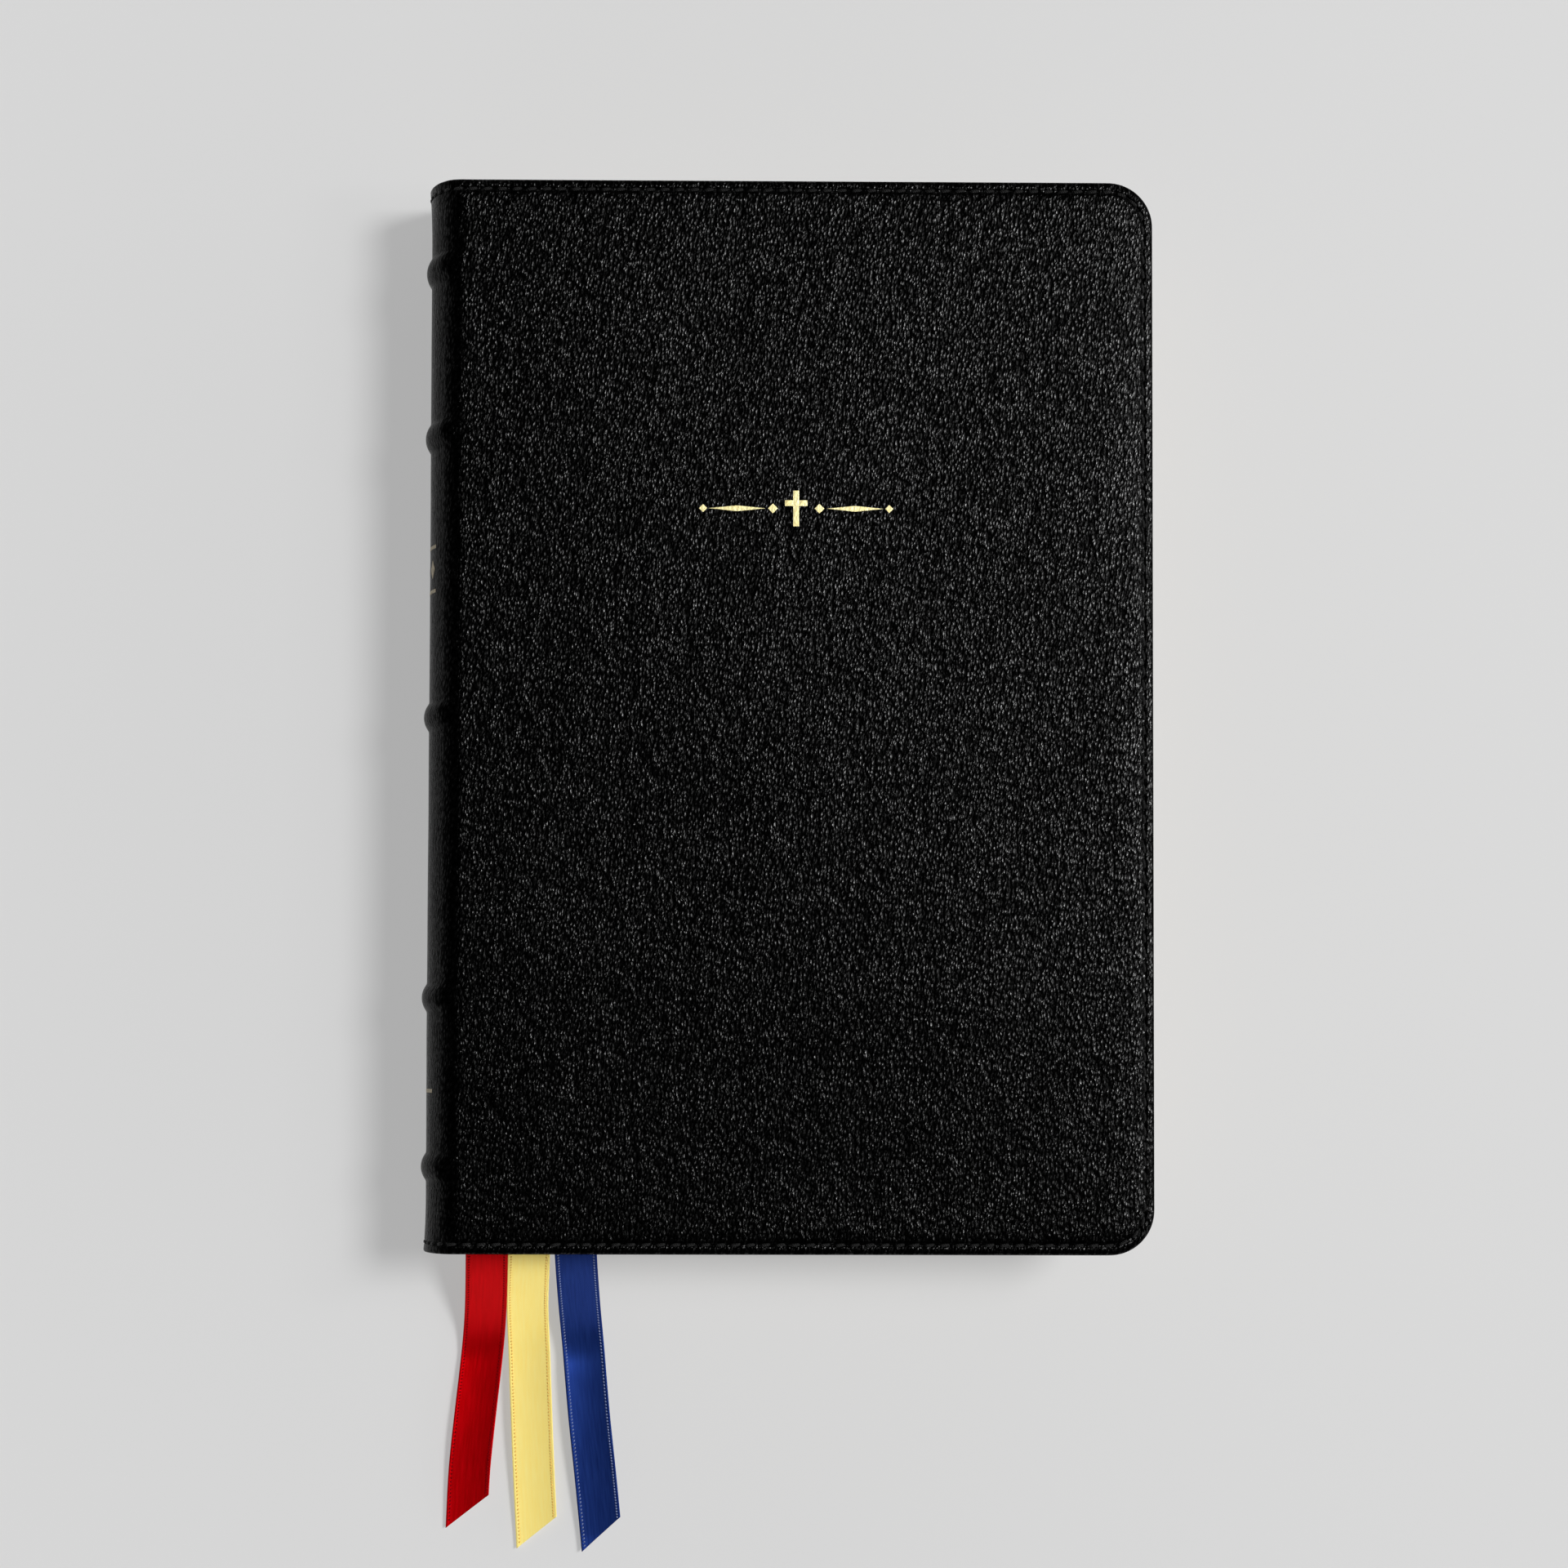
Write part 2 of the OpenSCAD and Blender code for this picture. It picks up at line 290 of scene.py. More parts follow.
def cover_skin(name, side, seed):
    x, y = cover_grid()
    d = edge_distance(x, y, LEAF_X1, HALF_H)
    px, py = round_corners(x, y, LEAF_X1, HALF_H, CORNER_R)
    face = BOOK_T + cover_height(px, py, d, seed)
    over_card = LEATHER_T - CARD_T * smoothstep(d, CARD_INSET - 0.6, CARD_INSET)
    thickness = np.where(x < HINGE_X, SPINE_LEATHER_T, over_card)
    card_side = smoothstep(x, HINGE_X + 2, HINGE_X + 4)
    thickness = LEATHER_T + (thickness - LEATHER_T) * card_side
    top = face + pared(px) + edge_roll(d, 0.6) + groove(d)
    bottom = face - thickness - edge_roll(d, 0.3)
    return cover_layer(name, px, py, top, bottom, side)


def cover_lining(name, side, seed):
    """The smooth leather inside a cover, stitched to the outer leather round its edge."""
    x, y = cover_grid()
    keep = x[0] >= LEAF_X0 - 0.01
    x, y = x[:, keep], y[:, keep]
    x = LEAF_X0 + (x - x[0, 0]) * (LEAF_X1 - LEAF_X0) / (LEAF_X1 - x[0, 0])
    d = edge_distance(x, y, LEAF_X1, HALF_H)
    px, py = round_corners(x, y, LEAF_X1, HALF_H, CORNER_R)
    face = BOOK_T + cover_height(px, py, d, seed)
    top = face - LEATHER_T + edge_roll(d, 0.15)
    bottom = face - COVER_T - edge_roll(d, 0.4) - groove(d)
    return cover_layer(name, px, py, top, bottom, side)


# ---- Spine ----

ARC_1 = SHOULDER_R * SHOULDER_TURN
ARC_2 = SPINE_R * (math.pi / 2 - SHOULDER_TURN)
SPINE_LENGTH = ARC_1 + ARC_2


def spine_section(s):
    """Point (x, z) and outward direction of the upper half of the spine, s from its shoulder."""
    turn_1 = math.pi / 2 + np.minimum(s, ARC_1) / SHOULDER_R
    turn_2 = math.pi / 2 + SHOULDER_TURN + (s - ARC_1) / SPINE_R
    on_shoulder = s < ARC_1
    turn = np.where(on_shoulder, turn_1, turn_2)
    radius = np.where(on_shoulder, SHOULDER_R, SPINE_R)
    cx = np.where(on_shoulder, SHOULDER_X, SPINE_CX)
    cz = np.where(on_shoulder, BOOK_T - SHOULDER_R, MID_Z)
    out = np.stack([np.cos(turn), np.sin(turn)], axis=-1)
    return np.stack([cx + radius * out[..., 0], cz + radius * out[..., 1]], axis=-1), out


def band_height(y):
    """Round beads with a small fillet where they meet the spine."""
    height = np.zeros(np.shape(y))
    fillet = 0.1
    for place in BAND_PLACES:
        bead = np.sqrt(np.maximum(BAND_R ** 2 - (y - place) ** 2, 0)) - (BAND_R - BAND_RISE)
        height = height + fillet * np.log1p(np.exp(np.clip(bead / fillet, -30, 60)))
    return height


def spine_face(s, y, side):
    """How far the spine's face stands above its nominal curve."""
    d = HALF_H - np.abs(y)
    bands = band_height(y) * smoothstep(s, 1.2, ARC_1 + 0.6)
    cap = 0.5 * np.clip(1 - d / 12, 0, 1) ** 2 * smoothstep(s, 3, ARC_1 + 4)
    waves = SPINE_WAVES * wobble(MID_Z + side * (SPINE_LENGTH - s), y, 11)
    joined = smoothstep(s, 0.0, 4.0)
    return bands + cap + waves * joined - COVER_SINK * (1 - joined) + edge_roll(d, 0.5) + groove(d)


def spine_points(s, y, height, side):
    """Points at a height over the spine; the droop of the covers' edges fades over the shoulder."""
    place, out = spine_section(s)
    drop = edge_droop(HALF_H - np.abs(y)) * (1 - smoothstep(s, 0, ARC_1))
    x = place[..., 0] + out[..., 0] * height
    z = place[..., 1] + out[..., 1] * height + drop
    return placed(x, y, z, side)


def bend_spine(piece):
    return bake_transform(piece)


def spine_rows():
    """Rows from tail to head, close together at the ends and over the bands."""
    rows = edge_rows(HALF_H, 1.2)
    middle = rows[(np.abs(rows) < HALF_H - EDGE_STEPS[-1])]
    for place in BAND_PLACES:
        middle = middle[np.abs(middle - place) > 4.6]
        middle = np.concatenate([middle, place + spaced(-4.4, 4.4, 0.4)])
    ends = rows[(np.abs(rows) >= HALF_H - EDGE_STEPS[-1])]
    return np.unique(np.round(np.concatenate([ends, middle]), 4))


def spine_skin(name, side):
    s, y = np.meshgrid(spaced(0, SPINE_LENGTH, 0.45), spine_rows())
    height = spine_face(s, y, side)
    outer = spine_points(s, y, height, side)
    inner_height = np.maximum(height - band_height(y) * 0.85, -0.6) - SPINE_LEATHER_T
    inner = spine_points(s, y, inner_height, side)
    # The material runs on from the cover's: s grows as x falls.
    across = SHOULDER_X - s if side > 0 else SHOULDER_X - 2 * SPINE_LENGTH + s
    rest = np.stack([across, y, 0 * s], axis=-1)
    piece = shell(name, inner, outer, rest) if side > 0 else shell(name, outer, inner, rest)
    return bend_spine(piece)


# ---- Stitches ----

def edge_path(q, inset):
    """Point and direction on the stitch line of a leaf, q from the shoulder along the tail edge."""
    radius = CORNER_R - inset
    straight = LEAF_X1 - CORNER_R - SHOULDER_X
    arc = radius * math.pi / 2
    fore = 2 * (HALF_H - CORNER_R)
    total = 2 * straight + 2 * arc + fore
    half = total / 2
    # The path is the same from both ends, so it is worked out from the nearer one.
    side = np.where(q <= half, -1.0, 1.0)
    w = np.minimum(q, total - q)
    turn = np.clip((w - straight) / radius, 0, math.pi / 2)
    on_edge = w < straight
    on_arc = (w >= straight) & (w < straight + arc)
    x = np.where(on_edge, SHOULDER_X + w, LEAF_X1 - CORNER_R + radius * np.sin(turn))
    low = np.where(on_edge | on_arc, -(HALF_H - CORNER_R) - radius * np.cos(turn),
                   -(HALF_H - CORNER_R) + w - straight - arc)
    y = np.where(side < 0, low, -low)
    heading = np.where(side < 0, turn, math.pi - turn)
    return x, y, heading, total


def stitch_template(length):
    """A short length of thread whose ends dive into the leather: (along, across, up)."""
    stations = np.linspace(-1, 1, 9)
    around = np.linspace(0, 2 * math.pi, 9)[:-1]
    half_w, half_t = 0.36, 0.2
    along = stations * length / 2
    swell = np.sqrt(np.maximum(1 - (np.abs(stations) * 0.96) ** 4, 0))
    lift = -0.34 * np.abs(stations) ** 3
    a = np.repeat(along[:, None], 8, axis=1)
    b = half_w * swell[:, None] * np.cos(around)[None]
    c = lift[:, None] + half_t * swell[:, None] * np.sin(around)[None]
    points = np.stack([a, b, c], axis=-1).reshape(-1, 3)
    faces = []
    for i in range(8):
        for j in range(8):
            k = (j + 1) % 8
            faces.append((i * 8 + j, (i + 1) * 8 + j, (i + 1) * 8 + k, i * 8 + k))
    caps = [tuple(range(8)), tuple(range(64, 72))[::-1]]
    return points, faces, caps


def stitches(name, centres, directions, ups, slant=0.12):
    """One piece of many stitches, each at a centre, along a direction, with its own up."""
    template, quads, caps = stitch_template(STITCH_LENGTH)
    across = np.cross(ups, directions)
    along = directions * math.cos(slant) + across * math.sin(slant)
    across = np.cross(ups, along)
    points = (centres[:, None] + template[None, :, 0:1] * along[:, None]
              + template[None, :, 1:2] * across[:, None] + template[None, :, 2:3] * ups[:, None])
    faces = []
    for i in range(len(centres)):
        first = i * len(template)
        faces += [tuple(first + v for v in f) for f in quads + caps]
    rest = np.tile(template, (len(centres), 1))
    rest[:, 0] += np.repeat(np.arange(len(centres)) * STITCH_PITCH, len(template))
    return mesh_object(name, points.reshape(-1, 3), faces, rest)


def cover_stitches(name, side, seed):
    """The stitches of one cover, on its face and on its liner."""
    total = edge_path(np.array([0.0]), STITCH_INSET)[3]
    count = int(total / STITCH_PITCH)
    q = (np.arange(count) + 0.5) * total / count
    x, y, heading, _ = edge_path(q, STITCH_INSET)
    direction = np.stack([np.cos(heading), np.sin(heading), 0 * heading], axis=-1)
    d = np.full(count, STITCH_INSET)
    height = BOOK_T + cover_height(x, y, d, seed) - GROOVE_DEPTH
    pare = pared(x)
    up = np.array([0, 0, 1.0])
    # The leather's edge droops, so the stitches lean with it.
    slope = 2 * DROOP * (1 - STITCH_INSET / DROOP_WIDTH) / DROOP_WIDTH
    outward = np.stack([np.sin(heading), -np.cos(heading), 0 * heading], axis=-1)
    lean = up + outward * slope
    lean /= np.linalg.norm(lean, axis=-1, keepdims=True)
    face = placed(x, y, height + pare + STITCH_LIFT, 1)
    under = placed(x, y, height + 2 * GROOVE_DEPTH - COVER_T - STITCH_LIFT, 1)
    inner = under[:, 0] > LEAF_X0 + 2
    centres = np.concatenate([face, under[inner]])
    directions = np.concatenate([direction, direction[inner]])
    ups = np.concatenate([lean, -lean[inner]])
    if side < 0:
        centres[:, 2] = BOOK_T - centres[:, 2]
        ups[:, 2] *= -1
    return bend_cover(stitches(name, centres, directions, ups))


def spine_stitches(name, side):
    """Stitches that run on over the spine at the head and the tail."""
    count = int(SPINE_LENGTH / STITCH_PITCH)
    s = np.tile((np.arange(count) + 0.5) * SPINE_LENGTH / count, 2)
    y = np.repeat([-(HALF_H - STITCH_INSET), HALF_H - STITCH_INSET], count)
    height = spine_face(s, y, side) + STITCH_LIFT
    centres = spine_points(s, y, height, side)
    ahead = spine_points(s + 0.01, y, height, side)
    directions = (ahead - centres) / np.linalg.norm(ahead - centres, axis=-1, keepdims=True)
    _, out = spine_section(s)
    ups = np.stack([out[:, 0], 0 * s, out[:, 1] * side], axis=-1)
    return bend_spine(stitches(name, centres, directions, ups))


# ---- Gold ornaments ----

def strip(start, end, width, stations=24, lanes=5):
    """Grid of points of a flat strip from start to end, whose full width is width(0..1)."""
    start, end = np.array(start, float), np.array(end, float)
    t = np.linspace(0, 1, stations)
    lane = np.linspace(-0.5, 0.5, lanes)
    ahead = (end - start) / np.linalg.norm(end - start)
    across = np.array([-ahead[1], ahead[0]])
    w = np.array([max(width(v), 0.02) for v in t])
    points = start + (end - start) * t[:, None, None] + across * (w[:, None] * lane)[..., None]
    return points


def rule(t, widest):
    return widest * (1 - abs(2 * t - 1))


def ornament_strips(cx, cy):
    """A plain cross between tapered rules and diamonds."""
    made = [
        strip((cx, cy - 4), (cx, cy + 4), lambda t: 1.3),
        strip((cx - 2.5, cy + 1.2), (cx - 0.65, cy + 1.2), lambda t: 1.3, 8),
        strip((cx + 0.65, cy + 1.2), (cx + 2.5, cy + 1.2), lambda t: 1.3, 8),
    ]
    for side in (-1, 1):
        for offset, length, width in ((5.2, 2.2, 2.2), (13.2, 12.6, 1.3), (20.8, 1.8, 1.8)):
            middle = cx + side * offset
            made.append(strip((middle - length / 2, cy), (middle + length / 2, cy),
                              lambda t, w=width: rule(t, w)))
    return made


def foil_piece(name, strips, place, thickness=0.05):
    """Thin foil: place() turns flat points and a height into points in the row frame."""
    points, faces, rest = [], [], []
    for flat in strips:
        rows, columns = flat.shape[:2]
        count = rows * columns
        edge = np.zeros((rows, columns))
        edge[0], edge[-1], edge[:, 0], edge[:, -1] = 1, 1, 1, 1
        upper = place(flat[..., 0], flat[..., 1], thickness - 0.03 * edge)
        lower = place(flat[..., 0], flat[..., 1], -0.25 + 0 * edge)
        loop = rim(rows, columns)
        start = sum(len(p) for p in points)
        faces += list(grid_faces(rows, columns, start=start, flip=True))
        faces += list(grid_faces(rows, columns, start=start + count))
        faces += list(wall_faces(start + loop, start + loop + count)[:, ::-1])
        points += [upper.reshape(-1, 3), lower.reshape(-1, 3)]
        place_on = np.stack([flat[..., 0], flat[..., 1], 0 * flat[..., 0]], axis=-1).reshape(-1, 3)
        rest += [place_on, place_on]
    return mesh_object(name, np.concatenate(points), faces, np.concatenate(rest))


# ---- Pages ----

# Depth of the line between two sections.
SECTION_DIP = 0.1


def spine_fold_x(z):
    """X of the pages' folds at height z: the block has a round spine and a hollow fore-edge."""
    return SPINE_CX - np.sqrt(BLOCK_R ** 2 - (z - MID_Z) ** 2)


def page_grid(step_x, step_y):
    near = spaced(0, PAGE_BEND + 8, 0.8)
    edge = np.array((0, 0.6, 1.4, 2.4, 3.6, 5.0, 6.5, 8.0))
    flat = spaced(near[-1], PAGE_W - edge[-1], step_x)[1:]
    across = np.concatenate([near, flat, PAGE_W - edge[:-1][::-1]])
    x, y = np.meshgrid(across, edge_rows(PAGE_HALF_H, step_y, tuple(edge)))
    return round_corners(x, y, PAGE_W, PAGE_HALF_H, PAGE_CORNER_R)


def bend_pages(piece, side):
    x0 = FOLD_X + 1 + 14.0
    z0 = pages_high[2]
    reach = PAGE_BEND / (1 + PAGE_BEND_SLANT ** 2)
    start = np.array([x0, 0, z0])
    end = start + np.array([-reach, 0, reach * PAGE_BEND_SLANT])
    if side > 0:
        start[2], end[2] = BOOK_T - start[2], BOOK_T - end[2]
    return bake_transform(piece)


def page_half(name, side):
    """One half of the page block, with a shallow line between its sewn sections."""
    low, high = pages_low[2], pages_high[2]
    gx, gy = page_grid(4.0, 4.0)
    rows, columns = gx.shape
    loop = rim(rows, columns)
    per_section = (0.0, 0.06, 0.3, 0.7, 0.94)
    steps = [(k, p) for k in range(SECTIONS) for p in per_section]
    levels = np.array([low + (k + p) * (high - low) / SECTIONS for k, p in steps] + [high])
    dip = np.array([SECTION_DIP if p == 0 else 0.0 for _, p in steps] + [SECTION_DIP])
    centre = np.array([PAGE_W / 2, 0])

    def level_points(x, y, z, inset):
        scale_x = (PAGE_W / 2 - inset) / (PAGE_W / 2)
        scale_y = (PAGE_HALF_H - inset) / PAGE_HALF_H
        px = spine_fold_x(z) + centre[0] + (x - centre[0]) * scale_x
        return np.stack([px, y * scale_y, z + 0 * px], axis=-1)

    bottom = level_points(gx, gy, levels[0], dip[0]).reshape(-1, 3)
    top = level_points(gx, gy, levels[-1], dip[-1]).reshape(-1, 3)
    points = [bottom, top]
    faces = [grid_faces(rows, columns), grid_faces(rows, columns, start=rows * columns, flip=True)]
    flat_x, flat_y = gx.reshape(-1)[loop], gy.reshape(-1)[loop]
    previous = loop
    start = 2 * rows * columns
    for z, inset in list(zip(levels, dip))[1:-1]:
        points.append(level_points(flat_x, flat_y, z, inset))
        current = start + np.arange(len(loop))
        faces.append(wall_faces(previous, current)[:, ::-1])
        previous, start = current, start + len(loop)
    faces.append(wall_faces(previous, loop + rows * columns)[:, ::-1])
    points = np.concatenate(points)
    leaf = np.zeros(len(points))
    leaf[:2 * rows * columns] = 1
    leaf[loop], leaf[loop + rows * columns] = 0, 0
    if side > 0:
        points[:, 2] = BOOK_T - points[:, 2]
        faces = [f[:, ::-1] for f in faces]
    piece = mesh_object(name, points, np.concatenate(faces), points, {"leaf": leaf})
    return bend_pages(piece, side)


def flyleaf(name, side, node):
    low, high = box_mm(node)
    z_low, z_high = (low[2], high[2]) if side < 0 else (BOOK_T - high[2], BOOK_T - low[2])
    gx, gy = page_grid(5.0, 5.0)
    px = spine_fold_x(z_low) + gx
    sag = 0.03 * wobble(px, gy, 5)
    lower = np.stack([px, gy, z_low + 0.06 + sag], axis=-1)
    upper = np.stack([px, gy, z_high - 0.03 + sag * 0.5], axis=-1)
    rest = np.stack([px, gy, 0 * px], axis=-1)
    if side > 0:
        lower[..., 2], upper[..., 2] = BOOK_T - lower[..., 2], BOOK_T - upper[..., 2]
        lower, upper = upper, lower
    return bend_pages(shell(name, upper, lower, rest), side)


# ---- Bands of thread at the head and tail of the spine ----

BAND_TURNS = 34


def end_band(name, node):
    """A rolled core wound with thread, its turns alternating in two colours."""
    low, high = box_mm(node)
    radius = (high[1] - low[1]) / 2
    y0 = (high[1] + low[1]) / 2
    ring = BLOCK_R - radius - 0.2
    reach = math.asin((high[2] - low[2]) / 2 / ring)
    turns = BAND_TURNS
    stations = np.linspace(-reach, reach, turns * 8 + 1)
    around = np.linspace(0, 2 * math.pi, 17)[:-1]
    v, a = np.meshgrid(stations, around, indexing="ij")
    wind = (v + reach) / (2 * reach) * turns * 2 * math.pi
    r = (radius - 0.12) + 0.1 * np.abs(np.sin((wind + a) / 2))
    out = ring + r * np.cos(a)
    x = SPINE_CX - out * np.cos(v)
    z = MID_Z + out * np.sin(v)
    points = np.stack([x, y0 + r * np.sin(a), z], axis=-1).reshape(-1, 3)
    faces = []
    rows, columns = v.shape
    for j in range(columns):
        k = (j + 1) % columns
        i = np.arange(rows - 1) * columns
        faces.append(np.stack([i + j, i + columns + j, i + columns + k, i + k], axis=-1))
    faces = [tuple(f) for f in np.concatenate(faces)]
    faces += [tuple(range(columns)), tuple(range((rows - 1) * columns, rows * columns))[::-1]]
    rest = np.stack([wind + a, a, 0 * a], axis=-1).reshape(-1, 3)
    return mesh_object(name, points, faces, rest)


# ---- Ribbons ----

# Middle of each ribbon, seen from above: (y, x) from inside the book to its free end. Then how far
# its loose end lies above the table along the same run, and the Y of its short corner and its tip.
RIBBONS = {
    "ribbon_red": {
        "middle": ((112, -74.4), (-90, -72.8), (-120, -72.2), (-133, -72.8), (-146, -74.0), (-158, -75.3),
                   (-170, -76.5), (-184, -77.2)),
        "lift": (0.8, 1.4, 1.9, 1.2, 0.5), "ends": (-175.9, -183.7), "tilt": 0.35,
    },
    "ribbon_gold": {
        "middle": ((112, -64.4), (-90, -63.1), (-120, -62.7), (-133, -63.3), (-146, -62.9), (-158, -62.4),
                   (-170, -61.9), (-188, -61.0)),
        "lift": (2.2, 3.0, 2.8, 1.7, 0.7), "ends": (-181.0, -188.1), "tilt": 0.5,
    },
    "ribbon_navy": {
        "middle": ((112, -54.4), (-90, -52.8), (-120, -52.2), (-133, -51.5), (-146, -50.4), (-158, -49.3),
                   (-170, -48.0), (-188, -46.2)),
        "lift": (2.0, 2.9, 3.0, 2.0, 0.8), "ends": (-181.2, -188.7), "tilt": -0.4,
    },
}
RIBBON_W = 9.5
RIBBON_T = 0.3
# Places across a ribbon, as shares of its width.
EDGE_LANE = 0.455
RIBBON_LANES = np.array([-0.5, -0.485, -EDGE_LANE, -0.42, -0.38, -0.3, -0.2, -0.1, 0,
                         0.1, 0.2, 0.3, 0.38, 0.42, EDGE_LANE, 0.485, 0.5])
MIDDLE_LANE = 8
# The lanes that the edge stitches lie on, and which way each leans.
STITCHED_LANES = ((3, -1), (13, 1))
# Height of a ribbon's middle over its path, and the Y from which its rows turn towards the slanted cut.
RIBBON_RISE = 0.1
SHEAR_FROM = -160.0


def smooth_curve(knots_x, knots_y, x):
    """A smooth line through a few knots, with their slopes from their neighbours."""
    kx, ky = np.array(knots_x, float), np.array(knots_y, float)
    if kx[0] > kx[-1]:
        kx, ky = kx[::-1], ky[::-1]
    slope = np.gradient(ky, kx)
    i = np.clip(np.searchsorted(kx, x) - 1, 0, len(kx) - 2)
    h = kx[i + 1] - kx[i]
    t = (x - kx[i]) / h
    return ((2 * t ** 3 - 3 * t ** 2 + 1) * ky[i] + (t ** 3 - 2 * t ** 2 + t) * h * slope[i]
            + (3 * t ** 2 - 2 * t ** 3) * ky[i + 1] + (t ** 3 - t ** 2) * h * slope[i + 1])


def ribbon_heights(y, lift):
    """Height of a ribbon's underside: flat in the book, down a slope, and loose on the table."""
    shelf = pages_high[2] + 0.06
    exit_y, land_y = -PAGE_HALF_H - 0.4, -146.0
    t = np.clip((exit_y - y) / (exit_y - land_y), 0, 1)
    fall = t * t * (3 - 2 * t) * 0.55 + 0.45 * np.sin(t * math.pi / 2) ** 2
    knots = np.linspace(land_y + 8, -185, len(lift))
    loose = smooth_curve(knots, lift, np.clip(y, knots[-1], knots[0])) * smoothstep(-y, -land_y - 22, -land_y + 4)
    return shelf * (1 - fall) + (0.1 + loose) * fall


def ribbon_rows():
    inside = spaced(112, -108, 4)
    slope = spaced(-108, -150, 0.45)[1:]
    table = spaced(-150, -185, 0.45)[1:]
    return np.concatenate([inside, slope, table])


def ribbon(name, spec):
    """A satin ribbon with its two corded edges, and a slanted cut at its free end."""
    rows = ribbon_rows()
    y, lane = np.meshgrid(rows, RIBBON_LANES, indexing="ij")
    short_y, tip_y = spec["ends"]
    cut = tip_y + (lane + 0.5) * (short_y - tip_y)
    sheared = SHEAR_FROM + (y - SHEAR_FROM) * (cut - SHEAR_FROM) / (rows[-1] - SHEAR_FROM)
    y = np.where(y < SHEAR_FROM, sheared, y)
    knots = spec["middle"]
    middle = smooth_curve([k[0] for k in knots], [k[1] for k in knots], y)
    ahead = smooth_curve([k[0] for k in knots], [k[1] for k in knots], y - 0.1)
    turn = (ahead - middle) / 0.1
    free = smoothstep(-y, PAGE_HALF_H + 4, PAGE_HALF_H + 26)
    z = ribbon_heights(y, spec["lift"])
    curl = (0.35 * (2 * lane) ** 2 + spec["tilt"] * lane) * free
    x = middle + lane * RIBBON_W
    back = lane * RIBBON_W * turn * 0.5
    edge = np.abs(np.abs(lane) - EDGE_LANE) < 0.03
    body = RIBBON_T * (0.6 + 0.4 * edge) * np.where(np.abs(lane) > 0.49, 0.4, 1.0)
    slope = np.gradient(z, axis=0) / np.gradient(y, axis=0)
    normal = np.stack([0 * slope, -slope, 1 + 0 * slope], axis=-1)
    normal /= np.linalg.norm(normal, axis=-1, keepdims=True)
    base = np.stack([x, y + back, z + curl], axis=-1)
    top = base + normal * (RIBBON_RISE + body[..., None] * 0.5 + 0.05)
    low = base + normal * (RIBBON_RISE - body[..., None] * 0.5 + 0.05)
    run = np.concatenate([[0], np.cumsum(np.linalg.norm(np.diff(base[:, MIDDLE_LANE], axis=0), axis=-1))])
    along = np.repeat(run[:, None], RIBBON_LANES.size, axis=1)
    rest = np.stack([lane * RIBBON_W, along, 0 * lane], axis=-1)
    piece = shell(name, low, top, rest, {"stitch": np.zeros(2 * lane.size)})
    threads = ribbon_edge_threads(name + "_edges", top, normal, rest, rows)
    join(piece, threads)
    # A ribbon keeps its width, so it stays with the back half and doesn't bend with the pages.
    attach(piece, "back_half")
    # A narrow ribbon is a flat cord: its diameter is its width.
    return piece


EDGE_THREAD_PITCH = 0.74


def ribbon_edge_threads(name, top, normal, rest, rows):
    """Small slanted stitches along both edges of a ribbon, where it is out of the book."""
    run = rest[:, MIDDLE_LANE, 1]
    first = run[np.argmin(np.abs(rows + PAGE_HALF_H - 6))]
    places = np.arange(first, run[-1] - 0.6, EDGE_THREAD_PITCH)
    points, faces, on = [], [], []
    template, quads, caps = stitch_template(0.62)
    template = template * np.array([1, 0.5, 0.6])
    for lane_index, side in STITCHED_LANES:
        line = top[:, lane_index]
        ups = normal[:, lane_index]
        edge_run = np.interp(places, run, np.arange(len(run)))
        for position in edge_run:
            i = min(int(position), len(run) - 2)
            f = position - i
            centre = line[i] * (1 - f) + line[i + 1] * f
            ahead = line[i + 1] - line[i]
            ahead /= np.linalg.norm(ahead)
            up = ups[i]
            across = np.cross(up, ahead)
            slanted = ahead * 0.8 + across * 0.6 * side
            across = np.cross(up, slanted)
            start = sum(len(p) for p in points)
            points.append(centre + template[:, 0:1] * slanted + template[:, 1:2] * across
                          + (template[:, 2:3] + 0.03) * up)
            faces += [tuple(start + v for v in face) for face in quads + caps]
            place = rest[i, lane_index]
            on.append(np.repeat(place[None], len(template), axis=0))
    made = np.concatenate(points)
    return mesh_object(name, made, faces, np.concatenate(on), {"stitch": np.ones(len(made))})


def join(piece, other):
    """Adds other's mesh to piece."""
    bpy.ops.object.select_all(action="DESELECT")
    other.select_set(True)
    piece.select_set(True)
    bpy.context.view_layer.objects.active = piece
    bpy.ops.object.join()


# ---- Materials ----

